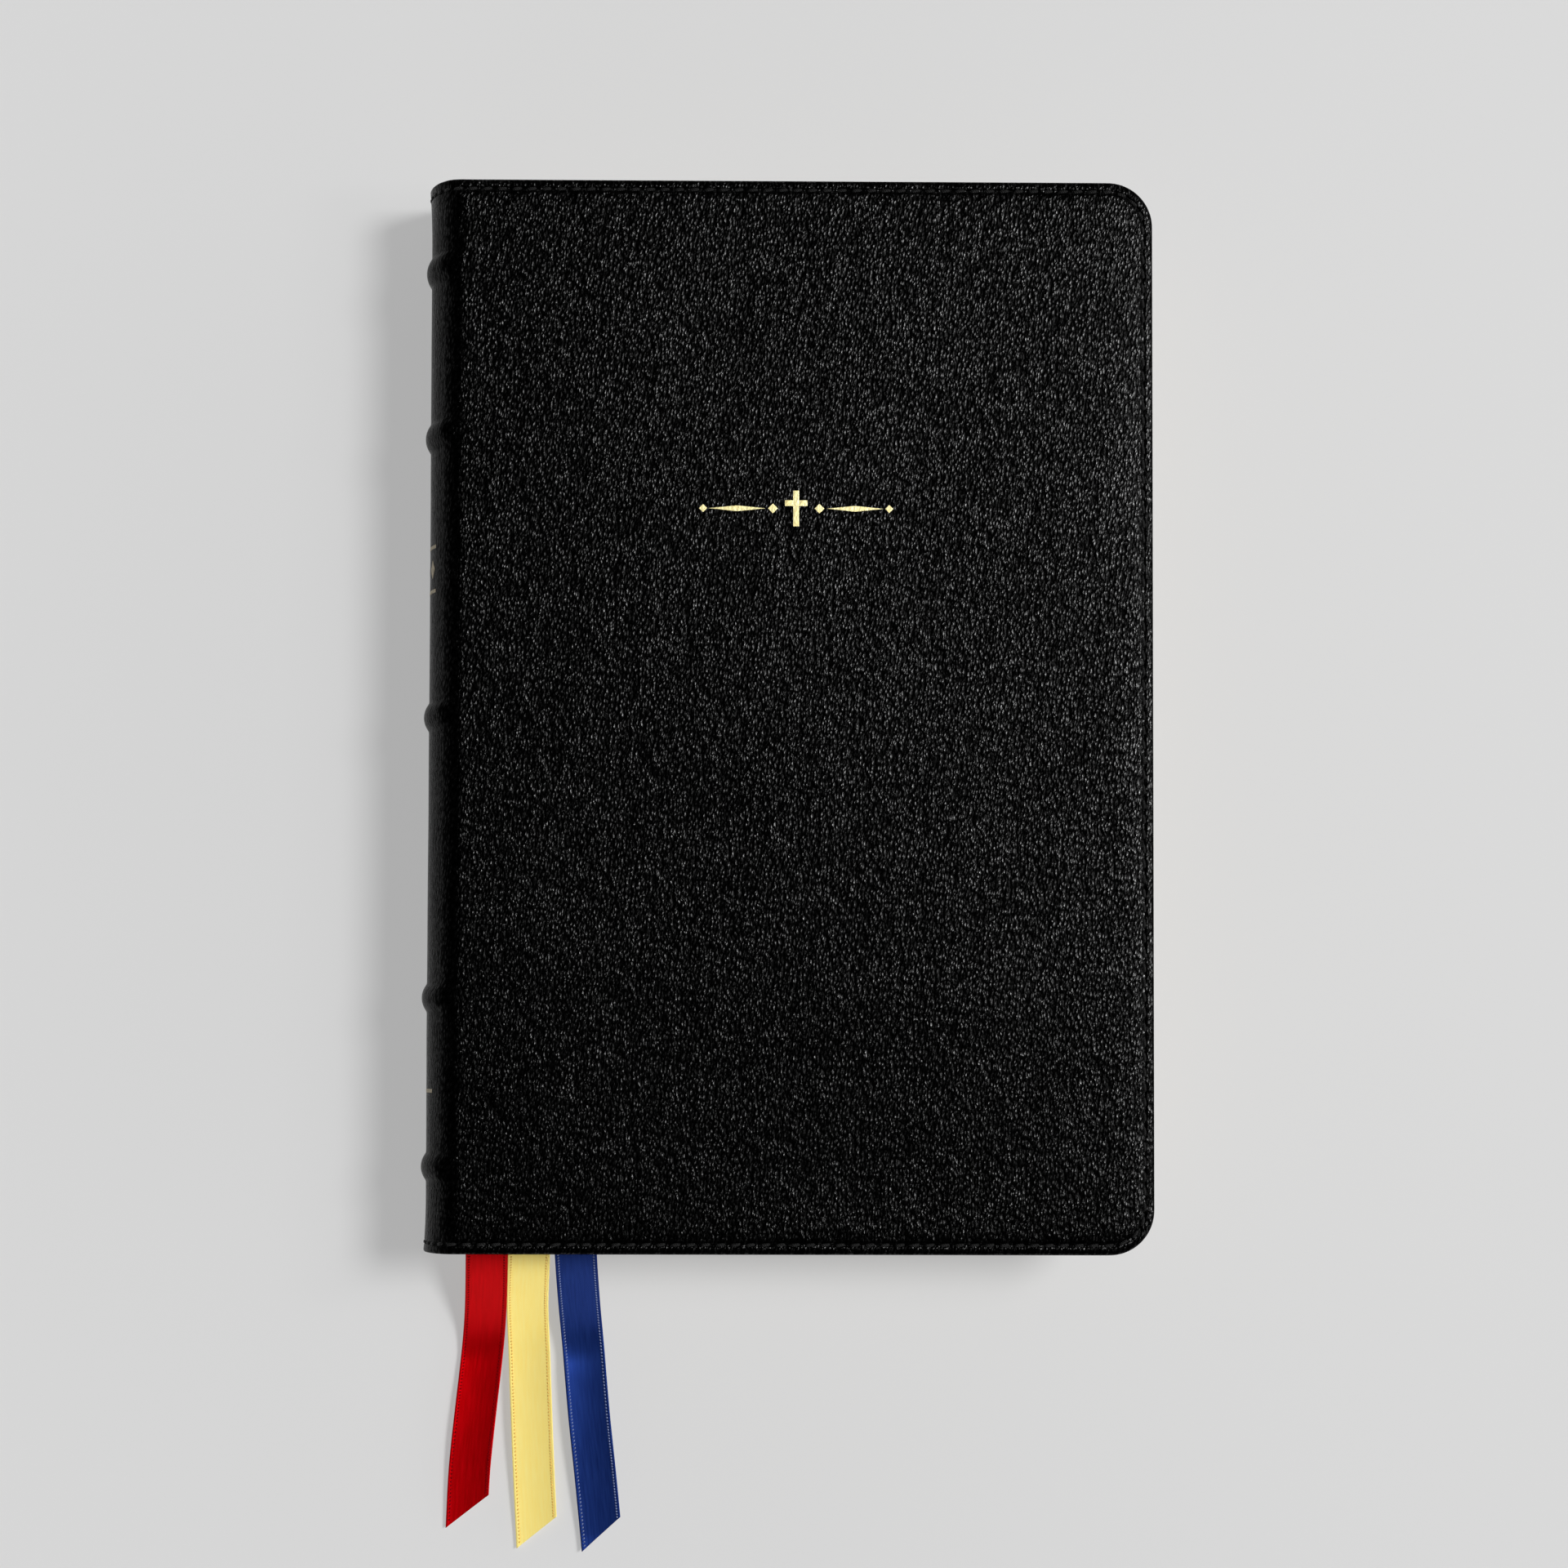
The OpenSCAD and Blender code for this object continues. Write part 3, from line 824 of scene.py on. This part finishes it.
class Nodes:
    """A material and short ways to add nodes to it."""

    def __init__(self, name):
        self.material = bpy.data.materials.new(name)
        self.material.use_nodes = True
        self.tree = self.material.node_tree
        self.shader = self.tree.nodes["Principled BSDF"]
        self.rest = self.add("ShaderNodeAttribute", attribute_name="rest").outputs["Vector"]

    def add(self, kind, inputs=None, **settings):
        node = self.tree.nodes.new(kind)
        for key, value in settings.items():
            setattr(node, key, value)
        for key, value in (inputs or {}).items():
            self.join(value, node.inputs[key])
        return node

    def join(self, value, socket):
        if isinstance(value, bpy.types.NodeSocket):
            self.tree.links.new(value, socket)
        else:
            socket.default_value = value

    def set(self, **values):
        for key, value in values.items():
            self.join(value, self.shader.inputs[key.replace("_", " ")])

    def math(self, operation, a, b=0.0, c=0.0):
        node = self.add("ShaderNodeMath", operation=operation)
        for i, value in enumerate((a, b, c)):
            self.join(value, node.inputs[i])
        return node.outputs[0]

    def times(self, a, b):
        return self.math("MULTIPLY", a, b)

    def scaled(self, vector, scale):
        node = self.add("ShaderNodeVectorMath", {0: vector, 1: scale}, operation="MULTIPLY")
        return node.outputs[0]

    def shifted(self, vector, other):
        return self.add("ShaderNodeVectorMath", {0: vector, 1: other}, operation="ADD").outputs[0]

    def noise(self, vector, scale, detail=3.0, roughness=0.5):
        inputs = {"Vector": vector, "Scale": scale, "Detail": detail, "Roughness": roughness}
        return self.add("ShaderNodeTexNoise", inputs).outputs["Fac"]

    def noise_vector(self, vector, scale, amount):
        node = self.add("ShaderNodeTexNoise", {"Vector": vector, "Scale": scale, "Detail": 2.0})
        centred = self.shifted(node.outputs["Color"], (-0.5, -0.5, -0.5))
        return self.scaled(centred, (amount, amount, amount))

    def cells(self, vector, scale):
        inputs = {"Vector": vector, "Scale": scale, "Randomness": 1.0}
        return self.add("ShaderNodeTexVoronoi", inputs, feature="F1").outputs["Distance"]

    def ramp(self, value, stops):
        node = self.add("ShaderNodeValToRGB", {"Fac": value})
        ramp = node.color_ramp
        while len(ramp.elements) < len(stops):
            ramp.elements.new(0.5)
        for element, (place, colour) in zip(ramp.elements, stops):
            element.position = place
            element.color = colour if len(colour) == 4 else (*colour, 1)
        return node.outputs["Color"]

    def range(self, value, low, high, to_low, to_high):
        inputs = {"Value": value, "From Min": low, "From Max": high, "To Min": to_low, "To Max": to_high}
        return self.add("ShaderNodeMapRange", inputs).outputs["Result"]

    def bump(self, height, distance):
        inputs = {"Height": height, "Distance": distance * MM, "Strength": 1.0}
        return self.add("ShaderNodeBump", inputs).outputs["Normal"]

    def parts(self, vector):
        return self.add("ShaderNodeSeparateXYZ", {0: vector}).outputs

    def vector(self, x=0.0, y=0.0, z=0.0):
        return self.add("ShaderNodeCombineXYZ", {"X": x, "Y": y, "Z": z}).outputs[0]

    def value(self, name):
        return self.add("ShaderNodeAttribute", attribute_name=name).outputs["Fac"]


def black_leather():
    """Pebbled goatskin: upright pebbles about 0.55 x 1.2 mm, glossy on top, matt and with painted shade in the
    creases.
    """
    n = Nodes("black_leather")
    bent = n.shifted(n.rest, n.noise_vector(n.rest, 0.3, 1.1))
    rotation = {"Vector": bent, "Angle": math.radians(12)}
    turned = n.add("ShaderNodeVectorRotate", rotation, rotation_type="Z_AXIS").outputs[0]
    upright = n.scaled(turned, (1.0, 0.45, 1.0))
    pebbles = n.cells(upright, 1.8)
    domes = n.math("SUBTRACT", 1.0, n.math("POWER", pebbles, 1.3))
    small = n.cells(n.shifted(upright, n.noise_vector(upright, 1.2, 0.35)), 3.1)
    fine = n.noise(upright, 3.2, 4.0, 0.62)
    patches = n.noise(n.rest, 0.11, 2.0)
    wrinkles = n.noise(n.scaled(turned, (0.7, 0.12, 1.0)), 1.0, 2.0)
    rough_domes = n.math("MULTIPLY_ADD", fine, 0.34, n.math("ADD", wrinkles, domes))
    height = n.math("MULTIPLY_ADD", small, -0.26, rough_domes)
    creases = n.range(pebbles, 0.35, 0.8, 0.0, 1.0)
    # The tops of the pebbles are glossier than the creases. The base colour darkens the reflection towards the
    # creases as painted shade, with slow patches at random;
    # the mask is in the base colour of a nearly metallic surface, which is the colour of its reflection.
    painted_crease_shade = n.range(n.math("MULTIPLY_ADD", patches, 0.12, pebbles), 0.14, 0.66, 0.0, 1.0)
    tones = ((0.0, 0.03), (0.55, 0.0095), (1.0, 0.0022))
    colour = n.ramp(painted_crease_shade, [(place, (tone, tone, tone)) for place, tone in tones])
    rough = n.math("ADD", n.range(fine, 0.3, 0.75, 0.18, 0.25), n.times(creases, 0.08))
    n.set(Base_Color=colour, Roughness=rough, Normal=n.bump(height, 0.125),
          Metallic=0.95, Specular_IOR_Level=0.02, Specular_Tint=(0.5, 0.5, 0.5, 1))
    return n.material


def liner_leather():
    n = Nodes("liner_leather")
    grain = n.cells(n.shifted(n.rest, n.noise_vector(n.rest, 0.8, 0.5)), 1.9)
    fine = n.noise(n.rest, 4.0, 4.0)
    colour = n.ramp(n.noise(n.rest, 0.08, 3.0), [(0.3, (0.008, 0.008, 0.009)), (0.7, (0.014, 0.014, 0.015))])
    height = n.math("MULTIPLY_ADD", grain, -0.6, n.times(fine, 0.3))
    n.set(Base_Color=colour, Roughness=n.range(fine, 0.3, 0.7, 0.42, 0.56), Normal=n.bump(height, 0.04))
    return n.material


def black_thread():
    n = Nodes("black_thread")
    along = n.parts(n.rest)
    ply = n.math("SINE", n.math("ADD", n.times(along[0], 14.0), n.times(along[1], 9.0)))
    colour = n.ramp(n.noise(n.rest, 2.5), [(0.3, (0.002, 0.002, 0.002)), (0.8, (0.006, 0.006, 0.006))])
    n.set(Base_Color=colour, Roughness=n.range(ply, -1, 1, 0.45, 0.6), Normal=n.bump(ply, 0.04),
          Specular_IOR_Level=0.15)
    return n.material


def gold_foil(name, tones, metal):
    """Stamped foil: it takes the leather's grain, paler on the pebbles' tops and deeper in colour towards the
    creases.
    """
    n = Nodes(name)
    upright = n.scaled(n.rest, (1.0, 0.62, 1.0))
    pebbles = n.cells(upright, 1.5)
    fine = n.noise(n.rest, 2.5, 3.0)
    colour = n.ramp(n.math("MULTIPLY_ADD", fine, 0.6, n.times(pebbles, 0.4)), [
        (0.25, tones[0]), (0.6, tones[1]), (0.9, tones[2])])
    n.set(Base_Color=colour, Roughness=n.range(fine, 0.3, 0.7, 0.38, 0.55),
          Normal=n.bump(n.math("MULTIPLY_ADD", pebbles, -0.8, fine), 0.09), Metallic=metal)
    return n.material


def paper():
    """Thin printed paper with gilt edges: the leaf attribute is 1 on a leaf's face, 0 on the edges."""
    n = Nodes("paper")
    x, y, z = n.parts(n.rest)[0:3]
    leaf = n.range(n.value("leaf"), 0.45, 0.55, 0.0, 1.0)
    layered = n.vector(n.times(x, 0.02), n.times(y, 0.02), n.times(z, 9.0))
    lines = n.noise(layered, 1.0, 4.0, 0.7)
    fibres = n.noise(n.rest, 1.8, 5.0, 0.6)
    leaf_colour = n.ramp(n.noise(n.rest, 0.05, 3.0), [(0.3, (0.82, 0.76, 0.62)), (0.7, (0.88, 0.83, 0.71))])
    gilt = n.ramp(lines, [(0.3, (0.24, 0.17, 0.08)), (0.5, (0.44, 0.34, 0.18)), (0.75, (0.56, 0.45, 0.27))])
    colour = n.add("ShaderNodeMix", {0: leaf, 6: gilt, 7: leaf_colour}, data_type="RGBA").outputs[2]
    rough = n.math("ADD", n.range(lines, 0.3, 0.7, 0.42, 0.28), n.times(leaf, 0.35))
    edge = n.math("SUBTRACT", 1.0, leaf)
    metal = n.times(edge, 0.9)
    height = n.math("ADD", n.times(lines, edge), n.times(fibres, 0.12))
    n.set(Base_Color=colour, Roughness=rough, Metallic=metal, Normal=n.bump(height, 0.12))
    return n.material


def endpaper():
    n = Nodes("endpaper")
    fibres = n.noise(n.rest, 1.2, 6.0, 0.65)
    colour = n.ramp(n.noise(n.rest, 0.06, 3.0), [(0.3, (0.8, 0.75, 0.63)), (0.7, (0.87, 0.83, 0.73))])
    n.set(Base_Color=colour, Roughness=n.range(fibres, 0.3, 0.7, 0.6, 0.75), Normal=n.bump(fibres, 0.03))
    return n.material


def satin(name, deep, bright, thread, gloss):
    """Satin: long floats along the ribbon over a fine twill, and a corded edge with small stitches."""
    n = Nodes(name)
    across, along = n.parts(n.rest)[0:2]
    slant = n.math("ADD", n.times(across, 15.0), n.times(along, 17.0))
    twill = n.math("SINE", slant)
    ribs = n.math("SINE", n.times(along, 26.0))
    streaks = n.noise(n.vector(n.times(across, 2.2), n.times(along, 0.12), 0.0), 1.0, 3.0, 0.6)
    edge = n.range(n.math("ABSOLUTE", across), RIBBON_W * 0.43, RIBBON_W * 0.45, 0.0, 1.0)
    weave = n.math("ADD", n.times(twill, 0.5), n.times(n.times(ribs, edge), 0.8))
    tone = n.math("ADD", n.times(streaks, 0.8), n.times(twill, 0.06))
    cloth = n.ramp(tone, [(0.2, deep), (0.6, bright)])
    stitch = n.value("stitch")
    colour = n.add("ShaderNodeMix", {0: stitch, 6: cloth, 7: (*thread, 1)}, data_type="RGBA").outputs[2]
    n.set(Base_Color=colour, Roughness=n.range(streaks, 0.3, 0.7, 0.36, 0.44), Normal=n.bump(weave, 0.018),
          Metallic=gloss, Specular_Tint=(*bright, 1))
    return n.material


def band_thread():
    """Silk wound over the head and tail bands in two colours."""
    n = Nodes("band_thread")
    wind = n.parts(n.rest)[0]
    turn = n.math("SINE", n.times(wind, 0.25))
    strands = n.math("SINE", n.times(wind, 4.0))
    colour = n.ramp(n.range(turn, -0.2, 0.2, 0.0, 1.0), [(0.4, (0.42, 0.25, 0.05)), (0.6, (0.72, 0.6, 0.38))])
    n.set(Base_Color=colour, Roughness=n.range(strands, -1, 1, 0.4, 0.55), Normal=n.bump(strands, 0.03))
    return n.material


def open_cloth():
    """Mull, tapes and sewing thread: plain woven cotton."""
    n = Nodes("open_cloth")
    place = n.scaled(n.add("ShaderNodeTexCoord").outputs["Object"], (1 / MM, 1 / MM, 1 / MM))
    x, y, z = n.parts(place)[0:3]
    weave = n.times(n.math("SINE", n.times(y, 9.0)), n.math("SINE", n.times(z, 9.0)))
    colour = n.ramp(n.noise(place, 0.4), [(0.3, (0.62, 0.58, 0.48)), (0.7, (0.74, 0.71, 0.62))])
    n.set(Base_Color=colour, Roughness=n.range(weave, -1, 1, 0.8, 0.92), Normal=n.bump(weave, 0.06))
    return n.material


def grey_card():
    n = Nodes("grey_card")
    place = n.scaled(n.add("ShaderNodeTexCoord").outputs["Object"], (1 / MM, 1 / MM, 1 / MM))
    fibres = n.noise(place, 1.4, 6.0, 0.7)
    colour = n.ramp(fibres, [(0.3, (0.3, 0.26, 0.2)), (0.7, (0.45, 0.4, 0.32))])
    n.set(Base_Color=colour, Roughness=n.range(fibres, 0.3, 0.7, 0.8, 0.92), Normal=n.bump(fibres, 0.05))
    return n.material


def floor_finish():
    n = Nodes("floor_finish")
    n.set(Base_Color=(0.28, 0.28, 0.28, 1), Roughness=0.9, Emission_Color=(1, 1, 1, 1), Emission_Strength=0.4)
    return n.material


# ---- Camera and light ----

CAMERA_OVER = 1000.0
CAMERA_XY = (-23.7, -74.4)
CAMERA_TURN = (3.36, -1.03, 0.14)
# Width of the view at the distance of the front cover.
VIEW_W = 348.2
SENSOR = 36.0


def make_camera():
    data = bpy.data.cameras.new("camera")
    data.sensor_width = SENSOR
    data.lens = SENSOR * CAMERA_OVER / VIEW_W
    data.clip_start, data.clip_end = 0.01, 20
    camera = bpy.data.objects.new("camera", data)
    camera.location = Vector((*CAMERA_XY, BOOK_T + CAMERA_OVER)) * MM
    camera.rotation_euler = [math.radians(a) for a in CAMERA_TURN]
    bpy.context.scene.collection.objects.link(camera)
    bpy.context.scene.camera = camera


def sun(name, direction, strength, angle):
    """Light from a direction, given as (x, y, z) towards the light."""
    data = bpy.data.lights.new(name, "SUN")
    data.energy = strength
    data.angle = math.radians(angle)
    light = bpy.data.objects.new(name, data)
    light.rotation_euler = Vector(direction).to_track_quat("Z", "Y").to_euler()
    bpy.context.scene.collection.objects.link(light)


def area_light(name, place, aim, width, height, power):
    data = bpy.data.lights.new(name, "AREA")
    data.shape = "RECTANGLE"
    data.size, data.size_y = width * MM, height * MM
    data.energy = power
    light = bpy.data.objects.new(name, data)
    light.location = Vector(place) * MM
    light.rotation_euler = (Vector(aim) - Vector(place)).to_track_quat("-Z", "Y").to_euler()
    bpy.context.scene.collection.objects.link(light)


RING_STRENGTH = 2.2
KEY_RISE = 60.0
KEY_STRENGTH = 2.6
KEY_ANGLE = 15
FLOOR_SIZE = 8.0


def studio_world():
    """A ring of soft light round the table, dark overhead and dimmer on the spine's side."""
    world = bpy.data.worlds.new("studio")
    world.use_nodes = True
    tree = world.node_tree
    place = tree.nodes.new("ShaderNodeTexCoord").outputs["Generated"]
    split = tree.nodes.new("ShaderNodeSeparateXYZ")
    tree.links.new(place, split.inputs[0])

    def fade(value, low, high, to_low, to_high):
        node = tree.nodes.new("ShaderNodeMapRange")
        node.interpolation_type = "SMOOTHSTEP"
        tree.links.new(value, node.inputs["Value"])
        for key, number in (("From Min", low), ("From Max", high), ("To Min", to_low), ("To Max", to_high)):
            node.inputs[key].default_value = number
        return node.outputs["Result"]

    up = fade(split.outputs[2], 0.22, 0.46, RING_STRENGTH, 0.0)
    side = fade(split.outputs[0], -0.9, -0.3, 0.12, 1.0)
    product = tree.nodes.new("ShaderNodeMath")
    product.operation = "MULTIPLY"
    tree.links.new(up, product.inputs[0])
    tree.links.new(side, product.inputs[1])
    tree.links.new(product.outputs[0], tree.nodes["Background"].inputs["Strength"])
    tree.nodes["Background"].inputs["Color"].default_value = (1, 1, 1, 1)
    bpy.context.scene.world = world


def make_studio():
    studio_world()
    rise = math.radians(KEY_RISE)
    sun("key", (math.cos(rise), 0.12, math.sin(rise)), KEY_STRENGTH, KEY_ANGLE)
    area_light("near_box", (420, 60, 560), (40, 0, 30), 80, 160, 0.55)
    bpy.context.scene.view_settings.view_transform = "Standard"
    bpy.ops.mesh.primitive_plane_add(size=FLOOR_SIZE, location=(0, 0, -0.0002))
    floor = bpy.context.object
    floor.name = "floor"
    floor.data.materials.append(floor_finish())


# ---- Making the book ----

def finish_piece(piece, material, slot, *nodes):
    piece.data.materials.clear()
    piece.data.materials.append(material)
    if nodes:
        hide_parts(*nodes)


def dress_node(node, material):
    """A better material on a CAD node that stays."""
    data = frame["nodes"][node].data
    data.materials.clear()
    data.materials.append(material)


FRONT_SEED, BACK_SEED = 3, 4


def make_covers(leather, liner, thread):
    for side, word, seed in ((1, "front", FRONT_SEED), (-1, "back", BACK_SEED)):
        skin = cover_skin(word + "_cover_skin", side, seed)
        finish_piece(skin, leather, "leather", word + "_cover_leather")
        lining = cover_lining(word + "_cover_lining", side, seed)
        finish_piece(lining, liner, "liner_leather", word + "_cover_liner")
        sewn = cover_stitches(word + "_cover_stitches", side, seed)
        finish_piece(sewn, thread, "thread", word + "_cover_stitching")
        spine = spine_skin("spine_skin_" + word, side)
        finish_piece(spine, leather, "leather", word + "_joint_leather")
        over = spine_stitches("spine_stitches_" + word, side)
        finish_piece(over, thread, "thread")
        if side > 0:
            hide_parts("spine_leather")
            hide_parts("spine_stitching")


def make_ornaments(foil, shaded_spine_foil):
    low, high = box_mm("cover_ornament")
    cx, cy = (low[0] + high[0]) / 2, (low[1] + high[1]) / 2

    def on_cover(x, y, height):
        d = np.full(np.shape(x), 30.0)
        return placed(x, y, BOOK_T + cover_height(x, y, d, FRONT_SEED) + height, 1)

    front = foil_piece("cover_foil", ornament_strips(cx, cy), on_cover)
    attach(front, "front_cover")
    finish_piece(front, foil, "gold_foil", "cover_ornament")

    def on_spine(u, y, height):
        s = SPINE_LENGTH - np.abs(u)
        face = np.where(u >= 0, spine_face(s, y, 1), spine_face(s, y, -1))
        up = spine_points(s, y, face + height, 1)
        return np.where((u >= 0)[..., None], up, up * np.array([1, 1, -1]) + np.array([0, 0, BOOK_T]))

    title_y, tail_y = 33.0, -84.0
    marks = [strip((11, y), (-11, y), lambda t: 0.8, 40, 3) for y in (title_y + 5, title_y - 5, tail_y)]
    marks += [strip((u + 2.2, title_y), (u - 2.2, title_y), lambda t: rule(t, 4.4), 16) for u in (-8, 0, 8)]
    back = foil_piece("spine_foil", marks, on_spine)
    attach(back, "spine")
    # The spine's marks take the darker copy of the foil: painted shade.
    finish_piece(back, shaded_spine_foil, "gold_foil", "spine_ornaments")


def make_pages(leaf_paper, end_paper):
    for side, word in ((1, "front"), (-1, "back")):
        finish_piece(page_half(word + "_pages", side), leaf_paper, "paper", word + "_half_pages")
        leaf = flyleaf(word + "_endleaf", side, word + "_flyleaf")
        finish_piece(leaf, end_paper, "paper", word + "_flyleaf")


def make_ribbons():
    cloths = {
        "ribbon_red": satin("satin_red", (0.4, 0.0004, 0.0012), (0.56, 0.0006, 0.004), (0.2, 0.001, 0.003), 0.5),
        "ribbon_gold": satin("satin_gold", (1.0, 0.78, 0.2), (1.0, 0.84, 0.28), (0.8, 0.5, 0.12), 0.02),
        "ribbon_navy": satin("satin_navy", (0.007, 0.02, 0.12), (0.013, 0.036, 0.18), (0.16, 0.2, 0.36), 0.5),
    }
    for node, spec in RIBBONS.items():
        piece = ribbon(node.replace("ribbon", "satin_ribbon"), spec)
        finish_piece(piece, cloths[node], node.replace("ribbon", "satin"), node)


def main():
    make_camera()
    make_studio()
    make_covers(black_leather(), liner_leather(), black_thread())
    bright_foil = gold_foil("gold_foil", ((1.0, 0.93, 0.52), (0.97, 0.84, 0.4), (0.78, 0.6, 0.22)), 0.3)
    # A darker copy of the gold foil for the spine's marks: painted shade, as the spine faces away from the key
    # light.
    shaded_spine_foil = gold_foil("shaded_spine_foil", ((0.4, 0.33, 0.2), (0.27, 0.22, 0.13), (0.04, 0.03, 0.015)), 0.3)
    make_ornaments(bright_foil, shaded_spine_foil)
    make_pages(paper(), endpaper())
    make_ribbons()
    silk = band_thread()
    for node in ("headband", "tailband"):
        band = end_band("wound_" + node, node)
        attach(band, "spine")
        finish_piece(band, silk, "headband_cloth", node)
    card, cloth = grey_card(), open_cloth()
    for node in ("front_cover_card", "back_cover_card", "raised_bands", "spine_card"):
        dress_node(node, card)
    for node in ("spine_lining", "sewing_tapes", "sewing_thread"):
        dress_node(node, cloth)


main()
